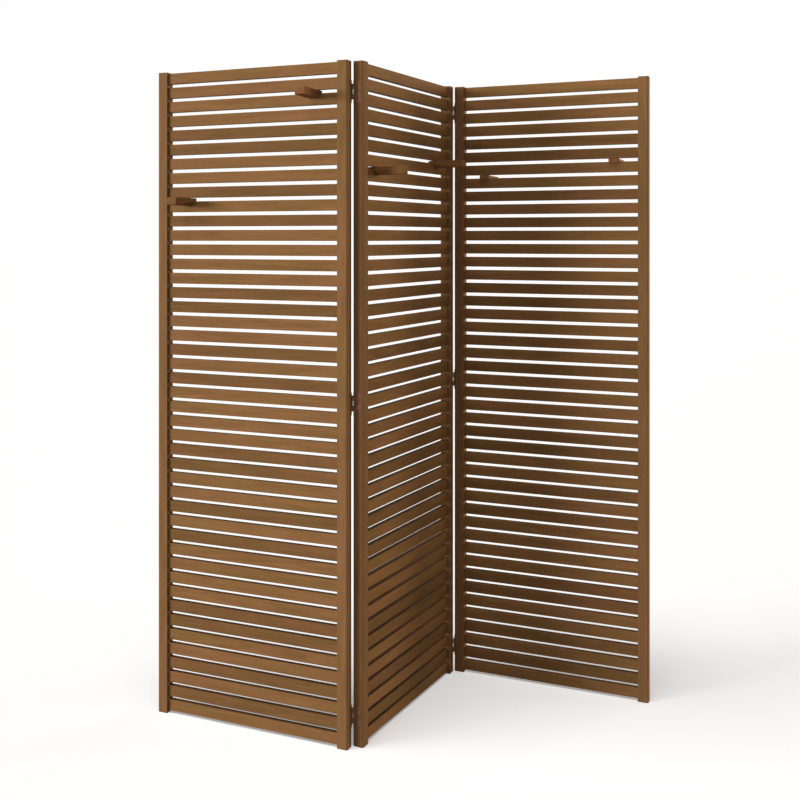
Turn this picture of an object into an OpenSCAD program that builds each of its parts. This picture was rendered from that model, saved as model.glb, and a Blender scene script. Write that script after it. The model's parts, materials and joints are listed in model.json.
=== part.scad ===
// Folding screen of three slatted wooden panels that stand in a zigzag.
// Each panel is a pair of square stiles with slats housed between them. Three butt hinges join
// each pair of panels, and wooden pegs hook over a slat wherever something is to be hung.
// In a panel's own frame X runs from its left end to its right, Y from its front face to its back
// and Z up from the floor.

/* [Panels] */
// Width of one panel over its stiles
panel_w = 582; // [500:1:660]
// How far each fold is bent from straight, in degrees
fold_angle = 84; // [60:1:110]

/* [Stiles] */
// Width of a stile across the panel
stile_w = 30; // [28:1:38]
// Thickness of a stile from front to back
stile_t = 30; // [28:1:38]
// Radius of the two edges of a stile that face away from the slats
stile_round = 5; // [4:0.5:8]
// Height of a stile above the top slat
stile_over = 3; // [2:1:20]
// Height of the bottom slat above the floor
stile_under = 7; // [2:1:20]

/* [Slats] */
// Number of slats in a panel
slat_count = 45; // [36:1:50]
// Height of a slat
slat_h = 30; // [27:1:36]
// Thickness of a slat
slat_t = 16; // [14:1:18]
// Height of the gap between two slats
slat_gap = 10; // [9.5:0.5:14]
// Depth to which a slat's end is housed in its stile
housing_depth = 12; // [8:1:13]
// Room for glue all round a slat's end
glue_gap = 0.1; // [0.05:0.05:0.2]

/* [Hinges] */
// Height of a hinge leaf
leaf_h = 60; // [54:1:70]
// Width of the flat part of a leaf
leaf_w = 22; // [18:0.5:22]
// Thickness of a leaf
leaf_t = 1.2; // [1:0.1:1.6]
// Distance from the top or the foot of a stile to the middle of the nearest hinge
hinge_end = 80; // [50:1:200]
// Distance from the pin's axis to the edge of each stile, along the panel
pin_side = 0.8; // [0.6:0.1:1.2]
// Distance from the pin's axis to the face of the panel
pin_out = 1; // [0.8:0.1:1.6]
// Radius of the pin in its knuckles
pin_r = 1.2; // [1:0.05:1.3]
// Radius of the pin's bare neck between the two knuckles
neck_r = 1.7; // [1.5:0.1:2]
// Length of that neck
neck_len = 12; // [8:0.5:14]
// Length of a knuckle
knuckle_len = 14; // [10:0.5:16]
// Wall of a knuckle
knuckle_wall = 1.3; // [1:0.05:1.35]
// Radius of the pin's two heads
pin_head_r = 2; // [1.6:0.1:2.4]
// Height of a pin's head
pin_head_h = 1; // [0.6:0.1:1.5]
// Radial clearance of the pin in a knuckle
pin_play = 0.05; // [0.02:0.01:0.08]
// Gap between two leaves when the fold is straight
leaf_gap = 0.4; // [0.2:0.1:0.6]
// Gap between a moving knuckle and what stands beside it
knuckle_gap = 0.3; // [0.2:0.05:0.5]
// Room round a leaf in its recess
recess_gap = 0.05; // [0.02:0.01:0.2]

/* [Screws] */
// Distance between two screws in a leaf
screw_pitch = 20; // [14:1:22]
// Radius of a screw's shank
shank_r = 1.2; // [1:0.05:1.4]
// Length of a screw under its head
shank_len = 11; // [8:0.5:12]
// Radius of a screw's head
screw_head_r = 2.4; // [2.1:0.1:2.8]
// Width of the slots of the cross in a screw's head
cross_w = 0.5; // [0.4:0.1:0.7]
// Depth of that cross
cross_depth = 0.5; // [0.3:0.1:0.7]
// Length of the slots of that cross
cross_len = 3.4; // [3:0.1:3.8]
// Clearance round a screw
screw_gap = 0.05; // [0.02:0.01:0.1]

/* [Pegs] */
// Width of a peg along the panel
peg_w = 29; // [20:1:34]
// Length of a peg in front of the stiles' faces
peg_reach = 78; // [50:1:100]
// Depth of a peg's body below the gap that it hangs in
peg_drop = 12; // [8:0.5:18]
// Thickness of the tongue that passes through the gap
tongue_t = 8.5; // [6:0.1:8.7]
// Thickness of the lip behind the slat
lip_t = 5.8; // [3:0.1:5.8]
// Depth of that lip below the gap
lip_drop = 3; // [2:0.5:18]
// Clearance between a peg and the slats
peg_gap = 0.3; // [0.15:0.05:0.5]
// Cut at the corners of a peg's tip
peg_chamfer = 2; // [1:0.5:4]
// Gap, counted from the top, of the peg near the left end of the left panel
left_low_gap = 9; // [2:1:30]
// Distance from the panel's left end to the middle of that peg
left_low_at = 94; // [60:1:400]
// Gap of the peg near the right end of the left panel
left_high_gap = 2; // [2:1:30]
// Distance from the middle of that peg to the panel's right end
left_high_in = 100; // [60:1:400]
// Gap of the peg near the left end of the middle panel
middle_left_gap = 7; // [2:1:30]
// Distance from the panel's left end to the middle of that peg
middle_left_at = 93; // [60:1:360]
// Gap of the peg near the right end of the middle panel
middle_right_gap = 6; // [2:1:30]
// Distance from the middle of that peg to the panel's right end
middle_right_in = 106; // [106:1:400]
// Gap of the peg near the left end of the right panel
right_left_gap = 7; // [2:1:30]
// Distance from the panel's left end to the middle of that peg
right_left_at = 95; // [60:1:400]
// Gap of the peg near the right end of the right panel
right_right_gap = 6; // [2:1:30]
// Distance from the middle of that peg to the panel's right end
right_right_in = 99; // [60:1:400]

/* [Colours] */
// Colour of the stiles
stile_colour = "#86643f"; // [#86643f, #6b4a2b]
// Colour of the slats
slat_colour = "#83623c"; // [#83623c, #6b4a2b]
// Colour of the pegs
peg_colour = "#8a6645"; // [#8a6645, #6b4a2b]
// Colour of the hinges and their screws
metal_colour = "#4a3323"; // [#4a3323, #6e5a3c]

/* [Hidden] */
$fn = 48;
// Excess of a cut beyond the face that it opens
over = 1;

pitch = slat_h + slat_gap;
stack_h = slat_count * pitch - slat_gap;
stack_top = stile_under + stack_h;
stile_h = stack_top + stile_over;
slat_front = (stile_t - slat_t) / 2;
slat_back = slat_front + slat_t;

// Heights of the three hinges on a stile
LEVELS = ["top", "waist", "foot"];
hinge_z = [stile_h - hinge_end, stile_h / 2, hinge_end];

// A hinge's own frame: the pin stands on the Z axis, the stile lies on the -X side
// and the panel's face on the -Y side.
bore_r = pin_r + pin_play;
knuckle_r = bore_r + knuckle_wall;
leaf_face = -leaf_gap / 2;
leaf_near = -(knuckle_r + knuckle_gap);
leaf_far = leaf_near - leaf_w;
knuckle_from = neck_len / 2;
knuckle_to = knuckle_from + knuckle_len;
screw_y = leaf_near - leaf_w / 2;
screw_zs = [-screw_pitch, 0, screw_pitch];
head_len = leaf_t;
tip_len = 2 * shank_r;

// Places of the pegs near a panel's right end, from its left end
left_high_at = panel_w - left_high_in;
middle_right_at = panel_w - middle_right_in;
right_right_at = panel_w - right_right_in;

// Slats are shared out in bands, the first at the top
BANDS = 9;
function band_first(b) = floor((b - 1) * slat_count / BANDS);
function band_last(b) = floor(b * slat_count / BANDS) - 1;

// Places of points of a panel in the screen's plan, before the plan is centred
left_pin = [-pin_side, stile_t + pin_out];
right_pin = [panel_w + pin_side, -pin_out];
left_panel_pin = [panel_w + pin_side, stile_t + pin_out];
right_panel_pin = [-pin_side, -pin_out];
function turned(p, a) = [p.x * cos(a) - p.y * sin(a), p.x * sin(a) + p.y * cos(a)];
function on_middle(p) = turned(p - [panel_w, stile_t] / 2, fold_angle / 2);
function on_left(p) = on_middle(left_pin + turned(p - left_panel_pin, -fold_angle));
function on_right(p) = on_middle(right_pin + turned(p - right_panel_pin, -fold_angle));

// The plan's extremes are the round edges of the stiles and the tips of the pegs
edge_centres = [
    for (x = [stile_round, panel_w - stile_round], y = [stile_round, stile_t - stile_round]) [x, y]];
edge_places = concat(
    [for (p = edge_centres) on_left(p)],
    [for (p = edge_centres) on_middle(p)],
    [for (p = edge_centres) on_right(p)]);
function tip_corners(at, y) = [for (x = [at - peg_w / 2, at + peg_w / 2]) [x, y]];
front_tip = -peg_reach;
back_tip = stile_t + peg_reach;
left_tips = concat(tip_corners(left_low_at, front_tip), tip_corners(left_high_at, front_tip));
middle_tips = concat(tip_corners(middle_left_at, front_tip), tip_corners(middle_right_at, front_tip));
right_tips = concat(tip_corners(right_left_at, back_tip), tip_corners(right_right_at, back_tip));
tip_places = concat(
    [for (p = left_tips) on_left(p)],
    [for (p = middle_tips) on_middle(p)],
    [for (p = right_tips) on_right(p)]);
function lowest(i) = min(min([for (p = edge_places) p[i]]) - stile_round, min([for (p = tip_places) p[i]]));
function highest(i) = max(max([for (p = edge_places) p[i]]) + stile_round, max([for (p = tip_places) p[i]]));
plan_centre = [lowest(0) + highest(0), lowest(1) + highest(1)] / 2;

PANELS = ["left", "middle", "right"];

// Panels in place

module on_middle_panel() {
    translate([-plan_centre.x, -plan_centre.y, 0])
        rotate([0, 0, fold_angle / 2])
            translate([-panel_w / 2, -stile_t / 2, 0])
                children();
}

module on_left_panel() {
    on_middle_panel()
        translate([left_pin.x, left_pin.y, 0])
            rotate([0, 0, -fold_angle])
                translate([-left_panel_pin.x, -left_panel_pin.y, 0])
                    children();
}

module on_right_panel() {
    on_middle_panel()
        translate([right_pin.x, right_pin.y, 0])
            rotate([0, 0, -fold_angle])
                translate([-right_panel_pin.x, -right_panel_pin.y, 0])
                    children();
}

// Hinge places on a panel. The hinge's frame is mirrored so that the stile and the panel's face
// lie on its -X and -Y sides.

module at_right_end_back() {
    translate([panel_w + pin_side, stile_t + pin_out, 0])
        children();
}

module at_left_end_back() {
    translate([-pin_side, stile_t + pin_out, 0])
        mirror([1, 0, 0])
            children();
}

module at_right_end_front() {
    translate([panel_w + pin_side, -pin_out, 0])
        mirror([0, 1, 0])
            children();
}

module at_left_end_front() {
    translate([-pin_side, -pin_out, 0])
        rotate([0, 0, 180])
            children();
}

// Stiles

// Plan of a stile at a panel's left end, with its two left edges round
module stile_plan() {
    translate([stile_round, 0])
        square([stile_w - stile_round, stile_t]);
    translate([0, stile_round])
        square([stile_round, stile_t - 2 * stile_round]);
    for (y = [stile_round, stile_t - stile_round])
        translate([stile_round, y])
            circle(r = stile_round);
}

module housings() {
    for (i = [0:slat_count - 1])
        translate([stile_w - housing_depth, slat_front - glue_gap, stile_under + i * pitch - glue_gap])
            cube([housing_depth + over, slat_t + 2 * glue_gap, slat_h + 2 * glue_gap]);
}

// Recess and pilot holes of one leaf, in the hinge's frame
module leaf_seat() {
    depth = leaf_t + leaf_gap / 2 - pin_side + recess_gap;
    translate([-pin_side - depth, leaf_far - recess_gap, -leaf_h / 2 - recess_gap])
        cube([depth + over, leaf_w + knuckle_r + over, leaf_h + 2 * recess_gap]);
    for (z = screw_zs)
        translate([leaf_face - head_len, screw_y, z])
            rotate([0, -90, 0])
                cylinder(r = shank_r + screw_gap, h = shank_len + screw_gap);
}

module left_end_stile() {
    color(stile_colour)
        difference() {
            linear_extrude(stile_h)
                stile_plan();
            housings();
            for (z = hinge_z)
                translate([0, 0, z])
                    children();
        }
}

module right_end_stile() {
    color(stile_colour)
        difference() {
            translate([panel_w, 0, 0])
                mirror([1, 0, 0])
                    difference() {
                        linear_extrude(stile_h)
                            stile_plan();
                        housings();
                    }
            for (z = hinge_z)
                translate([0, 0, z])
                    children();
        }
}

module left_outer_stile() {
    on_left_panel()
        left_end_stile();
}

module left_inner_stile() {
    on_left_panel()
        right_end_stile()
            at_right_end_back()
                leaf_seat();
}

module middle_left_stile() {
    on_middle_panel()
        left_end_stile()
            at_left_end_back()
                leaf_seat();
}

module middle_right_stile() {
    on_middle_panel()
        right_end_stile()
            at_right_end_front()
                leaf_seat();
}

module right_inner_stile() {
    on_right_panel()
        left_end_stile()
            at_left_end_front()
                leaf_seat();
}

module right_outer_stile() {
    on_right_panel()
        right_end_stile();
}

// Slats

// One band of slats of a panel, counted from the top
module slat_band(b) {
    from = stile_w - housing_depth + glue_gap;
    color(slat_colour)
        for (i = [band_first(b):band_last(b)])
            translate([from, slat_front, stack_top - slat_h - i * pitch])
                cube([panel_w - 2 * from, slat_t, slat_h]);
}

// Hinges

// A leaf in the hinge's frame. up is 1 for a knuckle above the neck and -1 for one below it.
module hinge_leaf(up) {
    knuckle_z = up > 0 ? knuckle_from : -knuckle_to;
    color(metal_colour)
        difference() {
            union() {
                translate([leaf_face - leaf_t, leaf_far, -leaf_h / 2])
                    cube([leaf_t, leaf_w, leaf_h]);
                translate([leaf_face - leaf_t, leaf_near - over, knuckle_z])
                    cube([leaf_t, -leaf_near + over, knuckle_len]);
                translate([0, 0, knuckle_z])
                    cylinder(r = knuckle_r, h = knuckle_len);
            }
            translate([0, 0, knuckle_z - over])
                cylinder(r = bore_r, h = knuckle_len + 2 * over);
            for (z = screw_zs)
                translate([leaf_face, screw_y, z])
                    rotate([0, -90, 0]) {
                        cylinder(r1 = screw_head_r + screw_gap, r2 = shank_r + screw_gap, h = head_len);
                        cylinder(r = shank_r + screw_gap, h = leaf_t + over);
                    }
        }
}

// The pin has a thick neck that keeps the two knuckles apart, and a head at each end
module hinge_pin() {
    head_z = knuckle_to + pin_play;
    neck_half = knuckle_from - pin_play;
    color(metal_colour) {
        translate([0, 0, -head_z])
            cylinder(r = pin_r, h = 2 * head_z);
        translate([0, 0, -neck_half])
            cylinder(r = neck_r, h = 2 * neck_half);
        for (z = [-head_z - pin_head_h, head_z])
            translate([0, 0, z])
                cylinder(r = pin_head_r, h = pin_head_h);
    }
}

module left_wing_leaf(z) {
    on_left_panel()
        translate([0, 0, z])
            at_right_end_back()
                hinge_leaf(1);
}

module left_middle_leaf(z) {
    on_middle_panel()
        translate([0, 0, z])
            at_left_end_back()
                hinge_leaf(-1);
}

module left_pin_at(z) {
    on_middle_panel()
        translate([0, 0, z])
            at_left_end_back()
                hinge_pin();
}

module right_wing_leaf(z) {
    on_right_panel()
        translate([0, 0, z])
            at_left_end_front()
                hinge_leaf(1);
}

module right_middle_leaf(z) {
    on_middle_panel()
        translate([0, 0, z])
            at_right_end_front()
                hinge_leaf(-1);
}

module right_pin_at(z) {
    on_middle_panel()
        translate([0, 0, z])
            at_right_end_front()
                hinge_pin();
}

// Screws

// A countersunk screw, with its head flush with the leaf
module screw() {
    difference() {
        union() {
            cylinder(r1 = screw_head_r, r2 = shank_r, h = head_len);
            cylinder(r = shank_r, h = head_len + shank_len - tip_len);
            translate([0, 0, head_len + shank_len - tip_len])
                cylinder(r1 = shank_r, r2 = 0, h = tip_len);
        }
        for (a = [0, 90])
            rotate([0, 0, a])
                translate([-cross_len / 2, -cross_w / 2, -over])
                    cube([cross_len, cross_w, cross_depth + over]);
    }
}

// The screws of one leaf at each of the three hinges, in the hinge's frame
module leaf_screws() {
    color(metal_colour)
        for (z = screw_zs)
            translate([leaf_face, screw_y, z])
                rotate([0, -90, 0])
                    screw();
}

module left_panel_screws() {
    on_left_panel()
        for (z = hinge_z)
            translate([0, 0, z])
                at_right_end_back()
                    leaf_screws();
}

module middle_panel_screws() {
    on_middle_panel()
        for (z = hinge_z)
            translate([0, 0, z]) {
                at_left_end_back()
                    leaf_screws();
                at_right_end_front()
                    leaf_screws();
            }
}

module right_panel_screws() {
    on_right_panel()
        for (z = hinge_z)
            translate([0, 0, z])
                at_left_end_front()
                    leaf_screws();
}

// Pegs

// Side view of a peg on a slat whose front face is at Y 0 and whose top edge is at Z 0:
// the body in front, the tongue over the slat and the lip behind it
module peg_side() {
    tip = -(peg_reach + slat_front);
    top = peg_gap + tongue_t;
    polygon([
        [tip + peg_chamfer, -peg_drop], [-peg_gap, -peg_drop], [-peg_gap, peg_gap],
        [slat_t + peg_gap, peg_gap], [slat_t + peg_gap, -lip_drop],
        [slat_t + peg_gap + lip_t, -lip_drop], [slat_t + peg_gap + lip_t, top],
        [tip + peg_chamfer, top], [tip, top - peg_chamfer], [tip, -peg_drop + peg_chamfer]]);
}

// A peg with its middle at X 0, its slat's front face at Y 0 and the slat's top edge at Z 0
module peg() {
    color(peg_colour)
        translate([-peg_w / 2, 0, 0])
            rotate([90, 0, 90])
                linear_extrude(peg_w)
                    peg_side();
}

// A peg that points to the front of its panel
module front_peg(at, gap) {
    translate([at, slat_front, stack_top - gap * pitch])
        peg();
}

// A peg that points to the back of its panel
module back_peg(at, gap) {
    translate([at, slat_back, stack_top - gap * pitch])
        mirror([0, 1, 0])
            peg();
}

module left_panel_low_peg() {
    on_left_panel()
        front_peg(left_low_at, left_low_gap);
}

module left_panel_high_peg() {
    on_left_panel()
        front_peg(left_high_at, left_high_gap);
}

module middle_panel_left_peg() {
    on_middle_panel()
        front_peg(middle_left_at, middle_left_gap);
}

module middle_panel_right_peg() {
    on_middle_panel()
        front_peg(middle_right_at, middle_right_gap);
}

module right_panel_left_peg() {
    on_right_panel()
        back_peg(right_left_at, right_left_gap);
}

module right_panel_right_peg() {
    on_right_panel()
        back_peg(right_right_at, right_right_gap);
}

left_outer_stile();
left_inner_stile();
middle_left_stile();
middle_right_stile();
right_inner_stile();
right_outer_stile();
for (b = [1:BANDS]) {
    on_left_panel() slat_band(b);
    on_middle_panel() slat_band(b);
    on_right_panel() slat_band(b);
}
for (i = [0:2]) {
    left = str("left_", LEVELS[i], "_hinge_");
    right = str("right_", LEVELS[i], "_hinge_");
    left_wing_leaf(hinge_z[i]);
    left_middle_leaf(hinge_z[i]);
    left_pin_at(hinge_z[i]);
    right_wing_leaf(hinge_z[i]);
    right_middle_leaf(hinge_z[i]);
    right_pin_at(hinge_z[i]);
}
left_panel_screws();
middle_panel_screws();
right_panel_screws();
left_panel_low_peg();
left_panel_high_peg();
middle_panel_left_peg();
middle_panel_right_peg();
right_panel_left_peg();
right_panel_right_peg();
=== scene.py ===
"""Folding screen of three slatted wooden panels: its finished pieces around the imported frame."""

import json
import logging
import math
import random
from dataclasses import dataclass, field
from enum import Enum

import bmesh
import bpy
from mathutils import Matrix, Vector

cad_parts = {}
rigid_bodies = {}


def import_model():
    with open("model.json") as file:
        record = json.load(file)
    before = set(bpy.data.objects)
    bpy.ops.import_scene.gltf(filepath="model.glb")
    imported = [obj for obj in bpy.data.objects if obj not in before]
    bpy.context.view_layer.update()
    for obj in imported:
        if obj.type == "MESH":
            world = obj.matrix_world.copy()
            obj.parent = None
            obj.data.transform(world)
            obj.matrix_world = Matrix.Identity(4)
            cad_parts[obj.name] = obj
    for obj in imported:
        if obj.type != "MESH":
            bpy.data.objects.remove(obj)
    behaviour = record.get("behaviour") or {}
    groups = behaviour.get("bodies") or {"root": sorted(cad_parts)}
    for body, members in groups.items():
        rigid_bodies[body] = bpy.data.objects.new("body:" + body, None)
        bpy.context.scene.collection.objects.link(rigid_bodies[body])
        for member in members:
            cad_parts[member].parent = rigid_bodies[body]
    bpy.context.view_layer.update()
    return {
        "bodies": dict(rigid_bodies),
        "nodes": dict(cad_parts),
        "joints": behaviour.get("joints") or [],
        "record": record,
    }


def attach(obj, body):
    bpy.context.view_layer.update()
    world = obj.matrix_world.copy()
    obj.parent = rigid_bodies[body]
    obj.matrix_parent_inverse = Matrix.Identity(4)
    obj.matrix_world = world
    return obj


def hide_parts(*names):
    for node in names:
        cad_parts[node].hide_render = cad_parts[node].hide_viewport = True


log = logging.getLogger("folding_screen")

MM = 0.001
PANEL_WIDTH = 582 * MM
PANEL_THICKNESS = 30 * MM
PIN_OUT = 1 * MM
GRAIN = "grain"
TONE = "tone"
SHARP_ANGLE = math.radians(50)
# One ring of the wave texture, in units of its own scale
WAVE_RING = 2 * math.pi / 20
Pair = tuple[float, float]
Colour = tuple[float, float, float]
Socket = bpy.types.NodeSocket
WHITE: Colour = (1.0, 1.0, 1.0)
WARM: Colour = (1.10, 1.0, 0.84)


class Slot(Enum):
    """The record's material slots."""

    STILE = "stile_wood"
    SLAT = "slat_wood"
    PEG = "peg_wood"
    HINGE = "hinge_bronze"
    SCREW = "screw_bronze"


class End(Enum):
    """The two ends of a panel."""

    LEFT = "left"
    RIGHT = "right"


class Way(Enum):
    """The two faces of a panel."""

    FRONT = "front"
    BACK = "back"


class NodeTree:
    """A short way to lay out a material's or the world's nodes."""

    def __init__(self, tree: bpy.types.NodeTree) -> None:
        """Empties the tree.

        Args:
            tree: the node tree to fill.
        """
        self.tree = tree
        self.tree.nodes.clear()

    def add(self, kind: str, inputs: dict | None = None, **settings: object) -> bpy.types.Node:
        """Adds one node.

        Args:
            kind: the node's type name, without "ShaderNode".
            inputs: what each input is linked to or set to, by the input's name or number.
            settings: the node's own properties.

        Returns:
            The new node.
        """
        node = self.tree.nodes.new(f"ShaderNode{kind}")
        for name, value in settings.items():
            setattr(node, name, value)
        for name, value in (inputs or {}).items():
            if isinstance(value, Socket):
                self.tree.links.new(value, node.inputs[name])
            else:
                node.inputs[name].default_value = value
        return node

    def ramp(self, factor: Socket, stops: list[tuple[float, Colour]]) -> Socket:
        """Adds a colour ramp.

        Args:
            factor: what drives the ramp.
            stops: places from 0 to 1 and their linear colours.

        Returns:
            The ramp's colour.
        """
        node = self.add("ValToRGB", {"Fac": factor})
        ramp = node.color_ramp
        for element, (place, colour) in zip(ramp.elements, (stops[0], stops[-1])):
            element.position = place
            element.color = (*colour, 1.0)
        for place, colour in stops[1:-1]:
            ramp.elements.new(place).color = (*colour, 1.0)
        return node.outputs["Color"]

    def grey(self, factor: Socket, low: Pair, high: Pair) -> Socket:
        """Maps a number from one range to another, held at its ends.

        Args:
            factor: the number.
            low: where the range starts and what that gives.
            high: where the range ends and what that gives.

        Returns:
            The mapped number.
        """
        node = self.add("MapRange", {"Value": factor, "From Min": low[0], "From Max": high[0],
                                     "To Min": low[1], "To Max": high[1]})
        return node.outputs["Result"]

    def times(self, first: Socket, second: Socket) -> Socket:
        """Multiplies two colours.

        Args:
            first: the first colour.
            second: the second colour.

        Returns:
            Their product.
        """
        node = self.add("Mix", {0: 1.0, 6: first, 7: second}, data_type="RGBA", blend_type="MULTIPLY")
        return node.outputs[2]


@dataclass(frozen=True)
class Figure:
    """One noise of the wood: how fine it is, per metre, and how it shades the colour."""

    along: float
    across: float
    detail: float
    low: Pair = (0.0, 1.0)
    high: Pair = (1.0, 1.0)

    def shade(self, nodes: NodeTree, noise: Socket) -> Socket:
        """Turns the noise into a shade between the figure's two."""
        return nodes.grey(noise, self.low, self.high)


@dataclass(frozen=True)
class Wood:
    """Oiled brown wood.

    Its grain runs along the first axis of the grain attribute, and each board has its own tone.
    """

    name: str
    olive: Colour
    brown: Colour
    red: Colour
    hue_stops: tuple[float, float, float] = (0.33, 0.50, 0.66)
    cloud: Figure = Figure(2.6, 16.0, 2.0)
    figure: Figure = Figure(7.0, 70.0, 3.0, (0.3, 0.89), (0.7, 1.10))
    fibre: Figure = Figure(14.0, 520.0, 4.0, (0.3, 0.88), (0.7, 1.10))
    pore: Figure = Figure(95.0, 2600.0, 2.0, (0.60, 1.0), (0.72, 0.62))
    finer_share: float = 0.55
    ring_width: float = 2.6 * MM
    ring_along: float = 0.05
    ring_waver: float = 9.0
    ring_waver_detail: float = 2.0
    ring_waver_scale: float = 0.06
    early_wood: Pair = (0.0, 1.04)
    late_wood: Pair = (1.0, 0.90)
    roughness: float = 0.6
    roughness_swing: float = 0.07
    sheen_level: float = 0.03
    bump_low: Pair = (0.25, 0.6)
    bump_high: Pair = (0.75, 1.0)
    bump_strength: float = 0.6
    bump_height: float = 0.25 * MM

    def stretched(self, nodes: NodeTree, along: float, across: float) -> Socket:
        """The grain's own coordinates at a chosen fineness.

        Args:
            nodes: the material's nodes.
            along: turns of the pattern in a metre along the grain.
            across: turns of the pattern in a metre across it.

        Returns:
            The scaled coordinates.
        """
        place = nodes.add("Attribute", attribute_name=GRAIN)
        scaled = nodes.add("Mapping", {"Vector": place.outputs["Vector"], "Scale": (along, across, across)})
        return scaled.outputs["Vector"]

    def noise(self, nodes: NodeTree, figure: Figure) -> Socket:
        """Noise stretched along the grain.

        Args:
            nodes: the material's nodes.
            figure: how fine it is.

        Returns:
            The noise, from 0 to 1.
        """
        node = nodes.add("TexNoise", {
            "Vector": self.stretched(nodes, figure.along, figure.across),
            "Scale": 1.0,
            "Detail": figure.detail,
            "Roughness": self.finer_share,
        })
        return node.outputs["Fac"]

    def rings(self, nodes: NodeTree) -> Socket:
        """Growth rings round the first axis, a little wavy.

        Args:
            nodes: the material's nodes.

        Returns:
            The rings, from 0 in early wood to 1 in late wood.
        """
        node = nodes.add("TexWave", {
            "Vector": self.stretched(nodes, self.ring_along, 1.0),
            "Scale": WAVE_RING / self.ring_width,
            "Distortion": self.ring_waver,
            "Detail": self.ring_waver_detail,
            "Detail Scale": self.ring_waver_scale,
            "Detail Roughness": 0.5,
        }, wave_type="RINGS", rings_direction="X", wave_profile="SAW")
        return node.outputs["Fac"]

    def make(self) -> bpy.types.Material:
        """Makes the material.

        Returns:
            The new material.
        """
        material = bpy.data.materials.new(self.name)
        material.use_nodes = True
        nodes = NodeTree(material.node_tree)
        cloud = self.noise(nodes, self.cloud)
        figure = self.noise(nodes, self.figure)
        fibre = self.noise(nodes, self.fibre)
        pore = self.noise(nodes, self.pore)
        hue = nodes.ramp(cloud, list(zip(self.hue_stops, (self.olive, self.brown, self.red))))
        figured = nodes.times(hue, self.figure.shade(nodes, figure))
        ringed = nodes.times(figured, nodes.grey(self.rings(nodes), self.early_wood, self.late_wood))
        fibred = nodes.times(ringed, self.fibre.shade(nodes, fibre))
        dark_pore = self.pore.shade(nodes, pore)
        pored = nodes.times(fibred, dark_pore)
        tone = nodes.add("Attribute", attribute_name=TONE)
        colour = nodes.times(pored, tone.outputs["Fac"])
        relief = nodes.times(dark_pore, nodes.grey(fibre, self.bump_low, self.bump_high))
        bump = nodes.add("Bump", {
            "Height": relief,
            "Strength": self.bump_strength,
            "Distance": self.bump_height,
        })
        rough = (self.fibre.low[0], self.roughness + self.roughness_swing)
        smooth = (self.fibre.high[0], self.roughness - self.roughness_swing)
        shader = nodes.add("BsdfPrincipled", {
            "Base Color": colour,
            "Roughness": nodes.grey(fibre, rough, smooth),
            "Specular IOR Level": self.sheen_level,
            "Normal": bump.outputs["Normal"],
        })
        nodes.add("OutputMaterial", {"Surface": shader.outputs["BSDF"]})
        return material


@dataclass(frozen=True)
class Bronze:
    """Bronze paint, brushed along Z and a little uneven in tone."""

    name: str
    dark: Colour
    light: Colour
    tone_stops: Pair = (0.35, 0.68)
    patina_scale: float = 70.0
    patina_detail: float = 3.0
    brush_scale: tuple[float, float, float] = (900.0, 900.0, 60.0)
    brush_detail: float = 2.0
    brush_range: Pair = (0.3, 0.7)
    metallic: float = 0.35
    sheen_level: float = 0.15
    roughness: float = 0.55
    roughness_swing: float = 0.08
    bump_strength: float = 0.25
    bump_height: float = 0.05 * MM

    def noise(self, nodes: NodeTree, vector: Socket, scale: float, detail: float) -> Socket:
        """Adds a noise and gives its value."""
        return nodes.add("TexNoise", {"Vector": vector, "Scale": scale, "Detail": detail}).outputs["Fac"]

    def make(self) -> bpy.types.Material:
        """Makes the material.

        Returns:
            The new material.
        """
        material = bpy.data.materials.new(self.name)
        material.use_nodes = True
        nodes = NodeTree(material.node_tree)
        place = nodes.add("TexCoord").outputs["Object"]
        brushed = nodes.add("Mapping", {"Vector": place, "Scale": self.brush_scale})
        brush = self.noise(nodes, brushed.outputs["Vector"], 1.0, self.brush_detail)
        patina = self.noise(nodes, place, self.patina_scale, self.patina_detail)
        colour = nodes.ramp(patina, list(zip(self.tone_stops, (self.dark, self.light))))
        bump = nodes.add("Bump", {
            "Height": brush,
            "Strength": self.bump_strength,
            "Distance": self.bump_height,
        })
        low, high = self.brush_range
        smooth = (low, self.roughness - self.roughness_swing)
        rough = (high, self.roughness + self.roughness_swing)
        shader = nodes.add("BsdfPrincipled", {
            "Base Color": colour,
            "Metallic": self.metallic,
            "Specular IOR Level": self.sheen_level,
            "Roughness": nodes.grey(brush, smooth, rough),
            "Normal": bump.outputs["Normal"],
        })
        nodes.add("OutputMaterial", {"Surface": shader.outputs["BSDF"]})
        return material


@dataclass(frozen=True)
class Palette:
    """The materials of the record's slots."""

    stile: Wood = Wood("stile_wood", (0.262, 0.139, 0.051), (0.281, 0.140, 0.055), (0.297, 0.143, 0.061))
    slat: Wood = Wood("slat_wood", (0.252, 0.132, 0.0445), (0.270, 0.132, 0.0487), (0.290, 0.1355, 0.055))
    peg: Wood = Wood("peg_wood", (0.247, 0.113, 0.0385), (0.263, 0.1155, 0.0435), (0.276, 0.1185, 0.047))
    hinge: Bronze = Bronze("hinge_bronze", (0.150, 0.074, 0.032), (0.225, 0.111, 0.048))
    screw: Bronze = Bronze("screw_bronze", (0.142, 0.071, 0.032), (0.214, 0.107, 0.048))

    def make(self) -> dict[Slot, bpy.types.Material]:
        """Makes every material.

        Returns:
            The materials by slot.
        """
        return {
            Slot.STILE: self.stile.make(),
            Slot.SLAT: self.slat.make(),
            Slot.PEG: self.peg.make(),
            Slot.HINGE: self.hinge.make(),
            Slot.SCREW: self.screw.make(),
        }


@dataclass(frozen=True)
class LogRanges:
    """The ranges from which a board's place in its log, in metres and radians, and its tone are drawn."""

    shift: Pair = (0.0, 40.0)
    heart_distance: Pair = (0.05, 0.16)
    heart_turn: Pair = (0.0, 2 * math.pi)
    slope: Pair = (-0.02, 0.02)
    tone: Pair = (0.97, 1.03)


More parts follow.
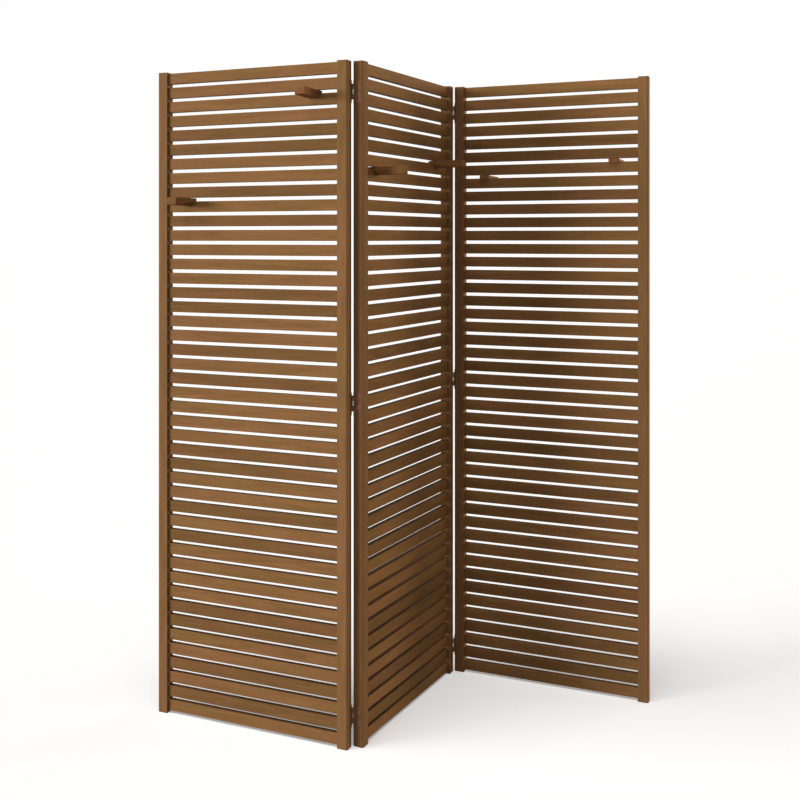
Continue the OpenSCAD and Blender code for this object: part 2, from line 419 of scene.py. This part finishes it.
@dataclass(frozen=True)
class Board:
    """How a board was sawn from its log: where the log's heart lies beside the board."""

    shift: float
    heart_distance: float
    heart_turn: float
    slope: float
    tone: float

    @classmethod
    def drawn(cls, seed: str) -> "Board":
        """Draws a board at random.

        Args:
            seed: the board's own name, so that it is the same at each run.

        Returns:
            The board.
        """
        draw = random.Random(seed)
        ranges = LogRanges()
        return cls(
            shift=draw.uniform(*ranges.shift),
            heart_distance=draw.uniform(*ranges.heart_distance),
            heart_turn=draw.uniform(*ranges.heart_turn),
            slope=draw.uniform(*ranges.slope),
            tone=draw.uniform(*ranges.tone),
        )

    def place(self, along: float, across: float, deep: float) -> Vector:
        """A point of the board in the log.

        Args:
            along: the point's place along the board.
            across: its place across the board, from the board's middle.
            deep: its place through the board, from the board's middle.

        Returns:
            The place along the log's heart and across from it.
        """
        c, s = math.cos(self.heart_turn), math.sin(self.heart_turn)
        return Vector((
            self.shift + along,
            self.heart_distance + across * c - deep * s + along * self.slope,
            across * s + deep * c,
        ))


@dataclass
class Piece:
    """One finished piece in the making, in its panel's own frame."""

    name: str
    mesh: bmesh.types.BMesh = field(default_factory=bmesh.new)

    def __post_init__(self) -> None:
        """Readies a new piece for its grain."""
        self.hold_grain()

    def block(self, low: Vector, high: Vector) -> list[bmesh.types.BMVert]:
        """Adds a rectangular block.

        Args:
            low: its lowest corner.
            high: its highest corner.

        Returns:
            The block's corners.
        """
        size = high - low
        matrix = Matrix.Translation((low + high) / 2) @ Matrix.Diagonal((*size, 1.0))
        return bmesh.ops.create_cube(self.mesh, size=1.0, matrix=matrix)["verts"]

    def ease(self, width: float, segments: int, edges: list[bmesh.types.BMEdge]) -> None:
        """Rounds edges over.

        Args:
            width: how far the rounding reaches from each edge.
            segments: the number of its facets.
            edges: the edges to round.
        """
        bmesh.ops.bevel(self.mesh, geom=edges, offset=width, segments=segments, profile=0.5,
                        affect="EDGES", clamp_overlap=True, material=-1)

    def sharp_edges(self) -> list[bmesh.types.BMEdge]:
        """The edges at which the surface turns sharply."""
        return [e for e in self.mesh.edges if e.is_manifold and e.calc_face_angle() > SHARP_ANGLE]

    def hold_grain(self) -> None:
        """Gives the mesh room for the grain's coordinates and the boards' tones."""
        layers = self.mesh.verts.layers
        for kind, name in ((layers.float_vector, GRAIN), (layers.float, TONE)):
            if kind.get(name) is None:
                kind.new(name)

    def stamp(self, verts: list[bmesh.types.BMVert], board: Board, axes: tuple[int, int, int],
              tone: float = 1.0) -> None:
        """Writes the grain's coordinates and the tone on the corners of one board.

        Args:
            verts: the board's corners.
            board: the way it was sawn.
            axes: the axis along the grain, the one across it and the one through the board.
            tone: how light the board is, besides its own small change.
        """
        layer = self.mesh.verts.layers.float_vector[GRAIN]
        tones = self.mesh.verts.layers.float[TONE]
        middle = sum((v.co for v in verts), Vector()) / len(verts)
        for vert in verts:
            along, across, deep = (vert.co[axis] for axis in axes)
            vert[layer] = board.place(along, across - middle[axes[1]], deep - middle[axes[2]])
            vert[tones] = board.tone * tone

    def cut(self, blocks: list[tuple[Vector, Vector]]) -> None:
        """Cuts rectangular pockets out of the piece.

        Args:
            blocks: the lowest and highest corner of each pocket.
        """
        cutter = Piece(f"{self.name}_cutter")
        for low, high in blocks:
            cutter.block(low, high)
        body, tool = self.loose(), cutter.loose()
        change = body.modifiers.new("cut", "BOOLEAN")
        change.operation, change.solver, change.object = "DIFFERENCE", "EXACT", tool
        bpy.context.view_layer.update()
        self.mesh = bmesh.new()
        self.mesh.from_object(body, bpy.context.evaluated_depsgraph_get())
        self.hold_grain()
        for made in (body, tool):
            mesh = made.data
            bpy.data.objects.remove(made)
            bpy.data.meshes.remove(mesh)

    def loose(self) -> bpy.types.Object:
        """Turns the mesh into an object of the scene.

        Returns:
            The new object.
        """
        mesh = bpy.data.meshes.new(self.name)
        self.mesh.to_mesh(mesh)
        self.mesh.free()
        made = bpy.data.objects.new(self.name, mesh)
        bpy.context.scene.collection.objects.link(made)
        return made

    def finish(self, place: Matrix, material: bpy.types.Material, body: str,
               node: str) -> bpy.types.Object:
        """Puts the piece in its place and hands it to the frame.

        Args:
            place: the panel's own frame in the row frame.
            material: the piece's material.
            body: the body that the piece rides on.
            node: the CAD node that it stands for.

        Returns:
            The finished object.
        """
        self.mesh.transform(place)
        bmesh.ops.recalc_face_normals(self.mesh, faces=self.mesh.faces)
        for face in self.mesh.faces:
            face.smooth = True
        made = self.loose()
        made.data.set_sharp_from_angle(angle=SHARP_ANGLE)
        made.data.materials.append(material)
        weighted = made.modifiers.new("weighted_normals", "WEIGHTED_NORMAL")
        weighted.keep_sharp = True
        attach(made, body)
        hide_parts(node)
        log.info("%s rides on %s: %d faces", made.name, body, len(made.data.polygons))
        return made


@dataclass(frozen=True)
class Panel:
    """One panel: two stiles with slats housed between them."""

    name: str
    place: Matrix
    left_stile: str
    right_stile: str
    width: float = PANEL_WIDTH
    thickness: float = PANEL_THICKNESS

    @property
    def body(self) -> str:
        """The body that the panel's pieces ride on."""
        return f"{self.name}_panel"


@dataclass(frozen=True)
class Stile:
    """A square upright with two rounded edges, a housing for each slat and a recess for each leaf."""

    width: float = 30 * MM
    height: float = 1800 * MM
    outer_round: float = 5 * MM
    round_segments: int = 8
    arris: float = 0.8 * MM
    arris_segments: int = 2
    housing_depth: float = 12 * MM
    glue_gap: float = 0.1 * MM
    leaf_height: float = 60 * MM
    leaf_reach: float = 24.85 * MM
    leaf_recess: float = 0.65 * MM
    leaf_room: float = 0.05 * MM
    hinge_end: float = 80 * MM

    def hinge_heights(self) -> tuple[float, float, float]:
        """The heights of the hinges' middles, from the top one down."""
        return (self.height - self.hinge_end, self.height / 2, self.hinge_end)

    def block_at(self, panel: Panel, end: End, x: Pair, y: Pair, z: Pair) -> tuple[Vector, Vector]:
        """A block measured from the panel's nearest end.

        Args:
            panel: the panel.
            end: the end from which x is measured.
            x: the block's reach along the panel.
            y: its reach from front to back.
            z: its reach in height.

        Returns:
            Its lowest and highest corner.
        """
        near, far = x if end is End.LEFT else (panel.width - x[1], panel.width - x[0])
        return Vector((near, y[0], z[0])), Vector((far, y[1], z[1]))

    def build(self, panel: Panel, end: End, node: str, slats: "Slats", hinge_face: Way | None,
              material: bpy.types.Material) -> None:
        """Builds one stile.

        Args:
            panel: the panel that it belongs to.
            end: the panel's end at which it stands.
            node: the CAD node that it stands for.
            slats: the panel's slats.
            hinge_face: the face at which the hinges' pins stand, if the stile carries hinges.
            material: the wood.
        """
        piece = Piece(f"{node}_piece")
        piece.block(*self.block_at(panel, end, (0.0, self.width), (0.0, panel.thickness), (0.0, self.height)))
        outer = 0.0 if end is End.LEFT else panel.width
        upright = [e for e in piece.mesh.edges
                   if all(abs(v.co.x - outer) < self.arris for v in e.verts)
                   and e.calc_length() > panel.width]
        piece.ease(self.outer_round, self.round_segments, upright)
        piece.ease(self.arris, self.arris_segments, piece.sharp_edges())
        piece.cut(self.housings(panel, end, slats) + self.recesses(panel, end, hinge_face))
        piece.stamp(list(piece.mesh.verts), Board.drawn(node), (2, 0, 1))
        piece.finish(panel.place, material, panel.body, node)

    def housings(self, panel: Panel, end: End, slats: "Slats") -> list[tuple[Vector, Vector]]:
        """The pockets that hold the slats' ends.

        Args:
            panel: the panel.
            end: the end at which the stile stands.
            slats: the panel's slats.

        Returns:
            The pockets' corners.
        """
        gap = self.glue_gap
        front = slats.front(panel)
        x = (self.width - self.housing_depth, self.width + self.housing_depth)
        y = (front - gap, front + slats.thickness + gap)
        heights = [(foot - gap, foot + slats.height + gap) for foot in slats.feet()]
        return [self.block_at(panel, end, x, y, z) for z in heights]

    def recesses(self, panel: Panel, end: End, hinge_face: Way | None) -> list[tuple[Vector, Vector]]:
        """The shallow recesses that take the hinges' leaves.

        Args:
            panel: the panel.
            end: the end at which the stile stands.
            hinge_face: the face at which the hinges' pins stand, if the stile carries hinges.

        Returns:
            The recesses' corners.
        """
        if hinge_face is None:
            return []
        x = (-self.width, self.leaf_recess)
        reach = self.leaf_reach + self.leaf_room - PIN_OUT
        y = (-self.width, reach) if hinge_face is Way.FRONT else (panel.thickness - reach, 2 * self.width)
        half = self.leaf_height / 2 + self.leaf_room
        return [self.block_at(panel, end, x, y, (z - half, z + half)) for z in self.hinge_heights()]


@dataclass(frozen=True)
class Slats:
    """The slats of a panel, made in bands that match the CAD nodes."""

    count: int = 45
    bands: int = 9
    height: float = 30 * MM
    thickness: float = 16 * MM
    gap: float = 10 * MM
    foot: float = 7 * MM
    end_inset: float = 18.1 * MM
    arris: float = 0.7 * MM
    arris_segments: int = 2
    set_size: int = 11
    dark_in_set: tuple[int, ...] = (4, 5, 8, 10)
    light_tone: float = 1.09
    dark_tone: float = 0.86

    def feet(self) -> list[float]:
        """The height of each slat's lower edge, from the bottom slat up."""
        return [self.foot + i * (self.height + self.gap) for i in range(self.count)]

    def front(self, panel: Panel) -> float:
        """How far the slats lie behind the panel's front face."""
        return (panel.thickness - self.thickness) / 2

    def top_of_gap(self, number: int) -> float:
        """The height of the slat's top edge under a gap, with gaps counted from the top."""
        return self.feet()[self.count - 1 - number] + self.height

    def build(self, panel: Panel, material: bpy.types.Material) -> None:
        """Builds every band of a panel.

        Args:
            panel: the panel.
            material: the wood.
        """
        per_band = self.count // self.bands
        from_top = list(reversed(self.feet()))
        for band in range(self.bands):
            node = f"{panel.name}_slats_band_{band + 1}"
            piece = Piece(f"{node}_piece")
            for number in range(band * per_band, (band + 1) * per_band):
                self.add_slat(piece, panel, number, from_top[number])
            piece.finish(panel.place, material, panel.body, node)

    def add_slat(self, piece: Piece, panel: Panel, number: int, foot: float) -> None:
        """Adds one slat to a band.

        Args:
            piece: the band.
            panel: the panel.
            number: the slat's number, counted from the top.
            foot: the height of its lower edge.
        """
        front = self.front(panel)
        before = set(piece.mesh.verts)
        low = Vector((self.end_inset, front, foot))
        high = Vector((panel.width - self.end_inset, front + self.thickness, foot + self.height))
        corners = piece.block(low, high)
        edges = list({e for v in corners for e in v.link_edges})
        piece.ease(self.arris, self.arris_segments, edges)
        verts = [v for v in piece.mesh.verts if v not in before]
        tone = self.dark_tone if number % self.set_size in self.dark_in_set else self.light_tone
        piece.stamp(verts, Board.drawn(f"{panel.name} slat {number}"), (0, 2, 1), tone)


@dataclass(frozen=True)
class Peg:
    """A wooden hook that hangs over a slat."""

    node: str
    body: str
    gap: int
    at: float
    way: Way = Way.FRONT
    width: float = 29 * MM
    reach: float = 78 * MM
    drop: float = 12 * MM
    tongue: float = 8.5 * MM
    lip: float = 5.8 * MM
    lip_drop: float = 3 * MM
    room: float = 0.3 * MM
    tip_cut: float = 2 * MM
    arris: float = 0.8 * MM
    arris_segments: int = 3

    def outline(self, slats: Slats, front: float) -> list[Pair]:
        """The peg seen from its side, with the slat's front at 0 and the slat's top edge at 0.

        Args:
            slats: the panel's slats.
            front: how far the slats lie behind the panel's face.

        Returns:
            Places towards the back and up.
        """
        tip, top = -(self.reach + front), self.room + self.tongue
        back = slats.thickness + self.room
        return [
            (tip + self.tip_cut, -self.drop), (-self.room, -self.drop), (-self.room, self.room),
            (back, self.room), (back, -self.lip_drop),
            (back + self.lip, -self.lip_drop), (back + self.lip, top),
            (tip + self.tip_cut, top), (tip, top - self.tip_cut), (tip, -self.drop + self.tip_cut),
        ]

    def build(self, panel: Panel, slats: Slats, material: bpy.types.Material) -> None:
        """Builds the peg.

        Args:
            panel: the panel that carries it.
            slats: the panel's slats.
            material: the wood.
        """
        front = slats.front(panel)
        top = slats.top_of_gap(self.gap)
        piece = Piece(f"{self.node}_piece")
        turn = 1.0 if self.way is Way.FRONT else -1.0
        face_y = front if self.way is Way.FRONT else panel.thickness - front
        left = self.at - self.width / 2
        outline = self.outline(slats, front)
        verts = [piece.mesh.verts.new((left, face_y + turn * y, top + z)) for y, z in outline]
        side = piece.mesh.faces.new(verts)
        grown = bmesh.ops.extrude_face_region(piece.mesh, geom=[side])["geom"]
        moved = [g for g in grown if isinstance(g, bmesh.types.BMVert)]
        bmesh.ops.translate(piece.mesh, verts=moved, vec=(self.width, 0.0, 0.0))
        bmesh.ops.recalc_face_normals(piece.mesh, faces=piece.mesh.faces)
        piece.ease(self.arris, self.arris_segments, list(piece.mesh.edges))
        piece.stamp(list(piece.mesh.verts), Board.drawn(self.node), (1, 0, 2))
        piece.finish(panel.place, material, self.body, self.node)


@dataclass(frozen=True)
class Hinges:
    """The hinges' pins in a panel's own frame, and the finish of their CAD pieces."""

    pin_side: float = 0.8 * MM

    def pin(self, end: End, face: Way) -> Vector:
        """A hinge pin's place in a panel's own frame.

        Args:
            end: the end that carries the hinges.
            face: the face in front of which the pin stands.

        Returns:
            The pin's place on the floor.
        """
        x = -self.pin_side if end is End.LEFT else PANEL_WIDTH + self.pin_side
        y = -PIN_OUT if face is Way.FRONT else PANEL_THICKNESS + PIN_OUT
        return Vector((x, y, 0.0))

    def dress(self, frame: dict, materials: dict[Slot, bpy.types.Material]) -> None:
        """Gives the leaves, pins and screws their metal.

        Args:
            frame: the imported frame.
            materials: the materials by slot.
        """
        for name, node in frame["nodes"].items():
            slot = Slot.SCREW if name.endswith("_screws") else Slot.HINGE if "_hinge_" in name else None
            if slot is None:
                continue
            node.data.materials.clear()
            node.data.materials.append(materials[slot])
            log.info("%s keeps its CAD shape in %s", name, slot.value)


@dataclass(frozen=True)
class Screen:
    """The whole screen."""

    stile: Stile = Stile()
    slats: Slats = Slats()
    hinges: Hinges = Hinges()

    def panels(self, frame: dict) -> dict[str, Panel]:
        """Works out where the panels stand from the two folds.

        Args:
            frame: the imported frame.

        Returns:
            The panels by name.
        """
        folds = {j["name"]: j for j in frame["joints"] if j["type"] == "hinge"}
        left_pin, right_pin = (Vector((*folds[n]["pos_m"][:2], 0.0)) for n in ("left_fold", "right_fold"))
        fold = -math.radians(folds["left_fold"]["range_deg"][0])
        at_left = self.hinges.pin(End.LEFT, Way.BACK)
        at_right = self.hinges.pin(End.RIGHT, Way.FRONT)
        own, seen = at_right - at_left, right_pin - left_pin
        turn = math.atan2(seen.y, seen.x) - math.atan2(own.y, own.x)
        wing_turn = turn - fold
        left = placed(left_pin, self.hinges.pin(End.RIGHT, Way.BACK), wing_turn)
        middle = placed(left_pin, at_left, turn)
        right = placed(right_pin, self.hinges.pin(End.LEFT, Way.FRONT), wing_turn)
        return {
            "left": Panel("left", left, "left_outer_stile", "left_inner_stile"),
            "middle": Panel("middle", middle, "middle_left_stile", "middle_right_stile"),
            "right": Panel("right", right, "right_inner_stile", "right_outer_stile"),
        }

    def pegs(self) -> list[tuple[str, Peg]]:
        """The pegs and the panels that carry them.

        Returns:
            Pairs of a panel's name and its peg. A peg near the right end is placed from that end.
        """
        end = PANEL_WIDTH
        back = Way.BACK
        return [
            ("left", Peg("left_panel_low_peg", "left_low_peg", gap=9, at=94 * MM)),
            ("left", Peg("left_panel_high_peg", "left_high_peg", gap=2, at=end - 100 * MM)),
            ("middle", Peg("middle_panel_left_peg", "middle_left_peg", gap=7, at=93 * MM)),
            ("middle", Peg("middle_panel_right_peg", "middle_right_peg", gap=6, at=end - 106 * MM)),
            ("right", Peg("right_panel_left_peg", "right_left_peg", gap=7, at=95 * MM, way=back)),
            ("right", Peg("right_panel_right_peg", "right_right_peg", gap=6, at=end - 99 * MM, way=back)),
        ]

    def build(self, frame: dict, materials: dict[Slot, bpy.types.Material]) -> dict[str, Panel]:
        """Builds every piece of the screen.

        Args:
            frame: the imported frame.
            materials: the materials by slot.

        Returns:
            The panels by name.
        """
        panels = self.panels(frame)
        hinge_faces = {
            "left_inner_stile": Way.BACK,
            "middle_left_stile": Way.BACK,
            "middle_right_stile": Way.FRONT,
            "right_inner_stile": Way.FRONT,
        }
        for panel in panels.values():
            for end, node in ((End.LEFT, panel.left_stile), (End.RIGHT, panel.right_stile)):
                self.stile.build(panel, end, node, self.slats, hinge_faces.get(node), materials[Slot.STILE])
            self.slats.build(panel, materials[Slot.SLAT])
        for name, peg in self.pegs():
            peg.build(panels[name], self.slats, materials[Slot.PEG])
        self.hinges.dress(frame, materials)
        return panels


def placed(pin: Vector, own: Vector, turn: float) -> Matrix:
    """The matrix that puts a point of a panel on a pin.

    Args:
        pin: the pin's place in the row frame.
        own: the same point in the panel's own frame.
        turn: the panel's turn about the upright, in radians.

    Returns:
        The panel's own frame in the row frame.
    """
    return Matrix.Translation(pin) @ Matrix.Rotation(turn, 4, "Z") @ Matrix.Translation(-own)


@dataclass(frozen=True)
class PhotoCamera:
    """The photograph's camera: level, with its lens shifted down and to the right."""

    frame_px: float = 800.0
    focal_px: float = 1079.9
    axis_px: Pair = (344.2, 237.5)
    sensor: float = 36.0
    height: float = 1336.3 * MM
    turn: float = math.radians(18.284)
    corner_left: float = 524.7 * MM
    corner_ahead: float = 3044.6 * MM

    def build(self, corner: Vector) -> None:
        """Makes the camera.

        Args:
            corner: the left panel's front corner at its outer end, in the row frame.
        """
        data = bpy.data.cameras.new("photo_camera")
        data.sensor_width = self.sensor
        data.lens = self.focal_px * self.sensor / self.frame_px
        data.shift_x = 0.5 - self.axis_px[0] / self.frame_px
        data.shift_y = self.axis_px[1] / self.frame_px - 0.5
        right = Vector((math.cos(self.turn), -math.sin(self.turn), 0.0))
        ahead = Vector((math.sin(self.turn), math.cos(self.turn), 0.0))
        camera = bpy.data.objects.new("photo_camera", data)
        camera.location = corner + right * self.corner_left - ahead * self.corner_ahead
        camera.location.z = self.height
        camera.rotation_euler = (math.radians(90), 0.0, -self.turn)
        bpy.context.scene.collection.objects.link(camera)
        bpy.context.scene.camera = camera


@dataclass(frozen=True)
class Lamp:
    """A broad soft lamp, so far away that it lights all of the floor alike. Its angles are in degrees."""

    name: str
    azimuth: float
    elevation: float
    spread: float
    strength: float
    colour: Colour = WHITE
    stand_off: float = 5.0

    def on_floor(self) -> float:
        """What the lamp gives a white floor, where 1 renders as white."""
        return self.strength * math.sin(math.radians(self.elevation)) / math.pi

    def build(self) -> None:
        """Makes the lamp."""
        data = bpy.data.lights.new(self.name, "SUN")
        data.angle = math.radians(self.spread)
        data.energy, data.color = self.strength, self.colour
        a, e = math.radians(self.azimuth), math.radians(self.elevation)
        towards = Vector((math.sin(a) * math.cos(e), -math.cos(a) * math.cos(e), math.sin(e)))
        lamp = bpy.data.objects.new(self.name, data)
        lamp.location = towards * self.stand_off
        lamp.rotation_euler = towards.to_track_quat("Z", "Y").to_euler()
        bpy.context.scene.collection.objects.link(lamp)


@dataclass(frozen=True)
class Studio:
    """A pale floor that runs into a white background, and soft lamps."""

    lamps: tuple[Lamp, ...] = (
        Lamp("front_high_lamp", -30.0, 75.0, 30.0, 1.32),
        Lamp("left_high_lamp", -100.0, 45.0, 30.0, 0.75),
        Lamp("left_front_lamp", -50.0, 4.0, 16.0, 0.30),
        Lamp("left_lamp", -80.0, 4.0, 16.0, 1.50),
        Lamp("left_back_lamp", -95.0, 4.0, 16.0, 1.45),
        Lamp("right_front_lamp", 50.0, 4.0, 16.0, 0.36, WARM),
        Lamp("right_lamp", 75.0, 4.0, 16.0, 1.17, WARM),
        Lamp("right_back_lamp", 105.0, 4.0, 16.0, 1.05, WARM),
    )
    ambient: float = 0.02
    floor_side: float = 200.0
    bounce_paint: float = 0.20
    shadow_depth: float = 0.85

    def seen(self, nodes: NodeTree) -> Socket:
        """Tells what the camera sees from what only lights.

        Args:
            nodes: the nodes of a material or the world.

        Returns:
            1 for what is seen straight, in a reflection or through glass, and otherwise 0.
        """
        path = nodes.add("LightPath").outputs
        either = nodes.add("Math", {0: path["Is Camera Ray"], 1: path["Is Glossy Ray"]}, operation="MAXIMUM")
        every = nodes.add("Math", {0: either.outputs[0], 1: path["Is Transmission Ray"]}, operation="MAXIMUM")
        return every.outputs[0]

    def build_world(self) -> None:
        """Makes a world that looks white and lights the object a little."""
        world = bpy.data.worlds.new("studio_world")
        world.use_nodes = True
        nodes = NodeTree(world.node_tree)
        strength = nodes.grey(self.seen(nodes), (0.0, self.ambient), (1.0, 1.0))
        sky = nodes.add("Background", {"Color": (*WHITE, 1.0), "Strength": strength})
        nodes.add("OutputWorld", {"Surface": sky.outputs["Background"]})
        bpy.context.scene.world = world

    def build_floor(self) -> None:
        """Makes the floor.

        It looks white where nothing keeps the light off it, and it holds the object's shadow.
        """
        mesh = bmesh.new()
        bmesh.ops.create_grid(mesh, x_segments=1, y_segments=1, size=self.floor_side / 2)
        floor = Piece("floor", mesh).loose()
        material = bpy.data.materials.new("floor")
        material.use_nodes = True
        nodes = NodeTree(material.node_tree)
        light = self.ambient + sum(lamp.on_floor() for lamp in self.lamps)
        seen_paint = min(self.shadow_depth / light, 1.0)
        plain = nodes.add("BsdfDiffuse", {"Color": (self.bounce_paint,) * 3 + (1.0,)})
        shaded = nodes.add("BsdfDiffuse", {"Color": (seen_paint,) * 3 + (1.0,)})
        glow = nodes.add("Emission", {"Strength": 1.0 - seen_paint * light})
        white = nodes.add("AddShader", {0: shaded.outputs[0], 1: glow.outputs[0]})
        both = nodes.add("MixShader", {0: self.seen(nodes), 1: plain.outputs[0], 2: white.outputs[0]})
        nodes.add("OutputMaterial", {"Surface": both.outputs[0]})
        floor.data.materials.append(material)

    def build(self) -> None:
        """Makes the studio."""
        self.build_world()
        self.build_floor()
        for lamp in self.lamps:
            lamp.build()
        bpy.context.scene.view_settings.view_transform = "Standard"


def main() -> None:
    """Builds the screen, the studio and the camera."""
    logging.basicConfig(level=logging.INFO, format="%(name)s: %(message)s")
    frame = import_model()
    materials = Palette().make()
    panels = Screen().build(frame, materials)
    PhotoCamera().build(panels["left"].place @ Vector((0.0, 0.0, 0.0)))
    Studio().build()


if __name__ == "__main__":
    main()
